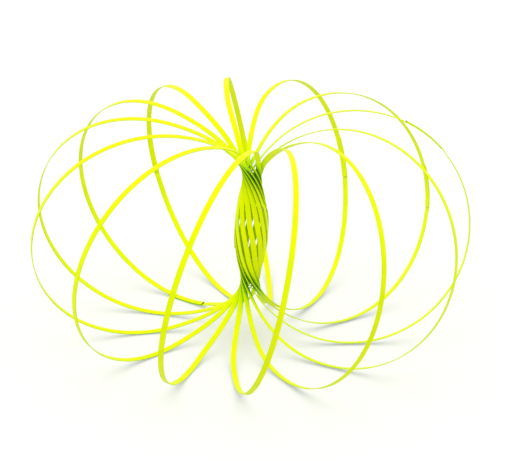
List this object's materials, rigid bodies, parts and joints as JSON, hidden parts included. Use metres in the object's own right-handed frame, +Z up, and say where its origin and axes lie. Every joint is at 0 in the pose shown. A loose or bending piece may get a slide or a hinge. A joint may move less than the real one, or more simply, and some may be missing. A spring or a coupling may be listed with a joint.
{
  "type": "spring coil toy",
  "caption": "Kinetic spring ring toy of flat sprung bands: linked hoops share one twisted core, stand open as a see-through doughnut, and roll through one another.",
  "frame": {"origin": "centre of the twisted core, at mid height on the core's axis", "axes": "+Z up along the core's axis; +X towards the outermost point of hoop_01, to within 5 degrees"},
  "size_m": [0.2399, 0.2422, 0.1287],
  "materials": {
    "coated_spring_band": "fluorescent yellow-green satin coating on thin spring steel"
  },
  "bodies": {
    "hoop_01": {"hoop_01": "coated_spring_band"},
    "hoop_02": {"hoop_02": "coated_spring_band"},
    "hoop_03": {"hoop_03": "coated_spring_band"},
    "hoop_04": {"hoop_04": "coated_spring_band"},
    "hoop_05": {"hoop_05": "coated_spring_band"},
    "hoop_06": {"hoop_06": "coated_spring_band"},
    "hoop_07": {"hoop_07": "coated_spring_band"},
    "hoop_08": {"hoop_08": "coated_spring_band"},
    "hoop_09": {"hoop_09": "coated_spring_band"},
    "hoop_10": {"hoop_10": "coated_spring_band"},
    "hoop_11": {"hoop_11": "coated_spring_band"},
    "hoop_12": {"hoop_12": "coated_spring_band"},
    "hoop_13": {"hoop_13": "coated_spring_band"}
  },
  "joints": [
    {"name": "hoop_02_spin", "type": "hinge", "parent": "hoop_01", "child": "hoop_02", "pos_m": [0.04643, 0.03131, 0], "axis": [0.547, -0.8109, 0.2079], "continuous": true},
    {"name": "hoop_03_spin", "type": "hinge", "parent": "hoop_01", "child": "hoop_03", "pos_m": [0.02455, 0.05033, 0], "axis": [0.8792, -0.4288, 0.2079], "continuous": true},
    {"name": "hoop_04_spin", "type": "hinge", "parent": "hoop_01", "child": "hoop_04", "pos_m": [-0.00195, 0.05597, 0], "axis": [0.9776, 0.0341, 0.2079], "continuous": true},
    {"name": "hoop_05_spin", "type": "hinge", "parent": "hoop_01", "child": "hoop_05", "pos_m": [-0.02715, 0.04898, 0], "axis": [0.8555, 0.4742, 0.2079], "continuous": true},
    {"name": "hoop_06_spin", "type": "hinge", "parent": "hoop_01", "child": "hoop_06", "pos_m": [-0.0453, 0.03292, 0], "axis": [0.5749, 0.7913, 0.2079], "continuous": true},
    {"name": "hoop_07_spin", "type": "hinge", "parent": "hoop_01", "child": "hoop_07", "pos_m": [-0.05478, 0.01164, 0], "axis": [0.2034, 0.9568, 0.2079], "continuous": true},
    {"name": "hoop_08_spin", "type": "hinge", "parent": "hoop_01", "child": "hoop_08", "pos_m": [-0.05434, -0.01355, 0], "axis": [-0.2366, 0.9491, 0.2079], "continuous": true},
    {"name": "hoop_09_spin", "type": "hinge", "parent": "hoop_01", "child": "hoop_09", "pos_m": [-0.04162, -0.03747, 0], "axis": [-0.6545, 0.7269, 0.2079], "continuous": true},
    {"name": "hoop_10_spin", "type": "hinge", "parent": "hoop_01", "child": "hoop_10", "pos_m": [-0.01915, -0.05262, 0], "axis": [-0.9192, 0.3345, 0.2079], "continuous": true},
    {"name": "hoop_11_spin", "type": "hinge", "parent": "hoop_01", "child": "hoop_11", "pos_m": [0.00682, -0.05558, 0], "axis": [-0.9709, -0.1192, 0.2079], "continuous": true},
    {"name": "hoop_12_spin", "type": "hinge", "parent": "hoop_01", "child": "hoop_12", "pos_m": [0.0305, -0.04697, 0], "axis": [-0.8203, -0.5327, 0.2079], "continuous": true},
    {"name": "hoop_13_spin", "type": "hinge", "parent": "hoop_01", "child": "hoop_13", "pos_m": [0.0499, -0.02542, 0], "axis": [-0.4441, -0.8715, 0.2079], "continuous": true}
  ],
  "couplings": [
    {"joint": "hoop_03_spin", "follows": "hoop_02_spin", "ratio": 1},
    {"joint": "hoop_04_spin", "follows": "hoop_02_spin", "ratio": 1},
    {"joint": "hoop_05_spin", "follows": "hoop_02_spin", "ratio": 1},
    {"joint": "hoop_06_spin", "follows": "hoop_02_spin", "ratio": 1},
    {"joint": "hoop_07_spin", "follows": "hoop_02_spin", "ratio": 1},
    {"joint": "hoop_08_spin", "follows": "hoop_02_spin", "ratio": 1},
    {"joint": "hoop_09_spin", "follows": "hoop_02_spin", "ratio": 1},
    {"joint": "hoop_10_spin", "follows": "hoop_02_spin", "ratio": 1},
    {"joint": "hoop_11_spin", "follows": "hoop_02_spin", "ratio": 1},
    {"joint": "hoop_12_spin", "follows": "hoop_02_spin", "ratio": 1},
    {"joint": "hoop_13_spin", "follows": "hoop_02_spin", "ratio": 1}
  ]
}
